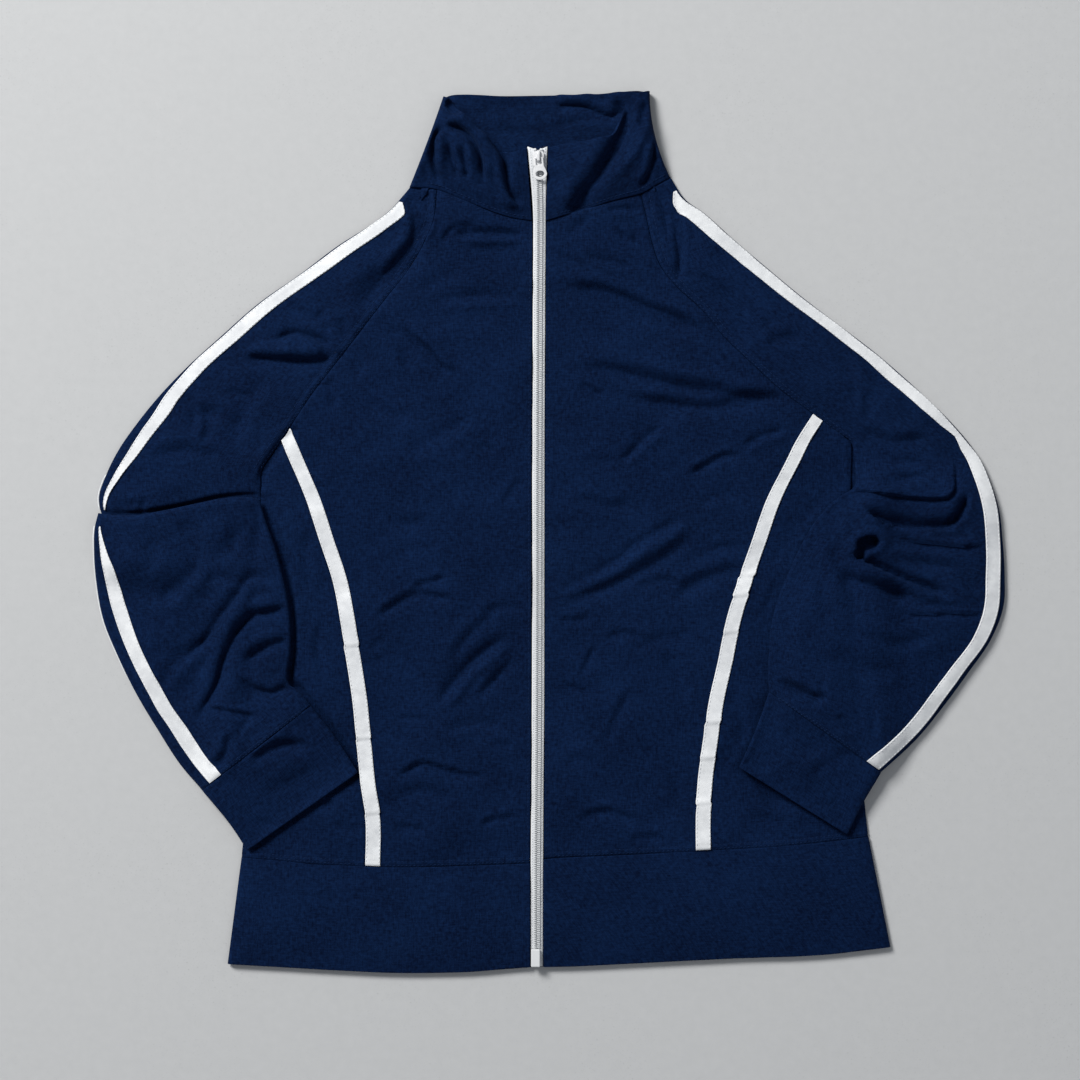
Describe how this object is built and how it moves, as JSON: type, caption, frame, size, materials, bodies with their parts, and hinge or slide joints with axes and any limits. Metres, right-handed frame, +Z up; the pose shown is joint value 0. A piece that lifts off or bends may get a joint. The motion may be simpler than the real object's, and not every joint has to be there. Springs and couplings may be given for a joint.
{
  "type": "track jacket",
  "caption": "Full-zip knit track jacket laid flat, front up, forearms folded in: stand collar, raglan sleeves, contrast tapes, plain cuffs and hem band.",
  "frame": {"origin": "middle of the jacket's outline, on the surface that it lies on", "axes": "+X towards the right of the picture (the wearer's left), +Y from the hem to the collar, +Z up from the surface"},
  "size_m": [0.7446, 0.7206, 0.0201],
  "materials": {
    "navy_knit": "dense warp knit, matt with a slight sheen",
    "white_tape": "flat woven tape",
    "white_nylon": "satin nylon",
    "white_enamel": "smooth enamel"
  },
  "bodies": {
    "garment": {"back": "navy_knit", "front_centre_left": "navy_knit", "front_centre_right": "navy_knit", "front_side_left": "navy_knit", "front_side_right": "navy_knit", "sleeve_left_upper": "navy_knit", "sleeve_left_forearm": "navy_knit", "sleeve_right": "navy_knit", "cuff_left": "navy_knit", "cuff_right": "navy_knit", "collar": "navy_knit", "hem_band": "navy_knit", "body_tape_left": "white_tape", "body_tape_right": "white_tape", "tape_front_upper_left": "white_tape", "tape_front_forearm_left": "white_tape", "tape_front_right": "white_tape", "tape_back_upper_left": "white_tape", "tape_back_forearm_left": "white_tape", "tape_back_right": "white_tape", "zip_tape_left": "white_tape", "zip_tape_right": "white_tape", "zip_chain": "white_nylon", "zip_box": "white_nylon", "zip_stop_left": "white_nylon", "zip_stop_right": "white_nylon", "zip_slider": "white_enamel"},
    "pull": {"zip_pull": "white_enamel"}
  },
  "joints": [
    {"name": "pull_swing", "type": "hinge", "parent": "garment", "child": "pull", "pos_m": [-0.00958, 0.3044, 0.0135], "axis": [-1, 0, 0], "range_deg": [0, 160]}
  ]
}
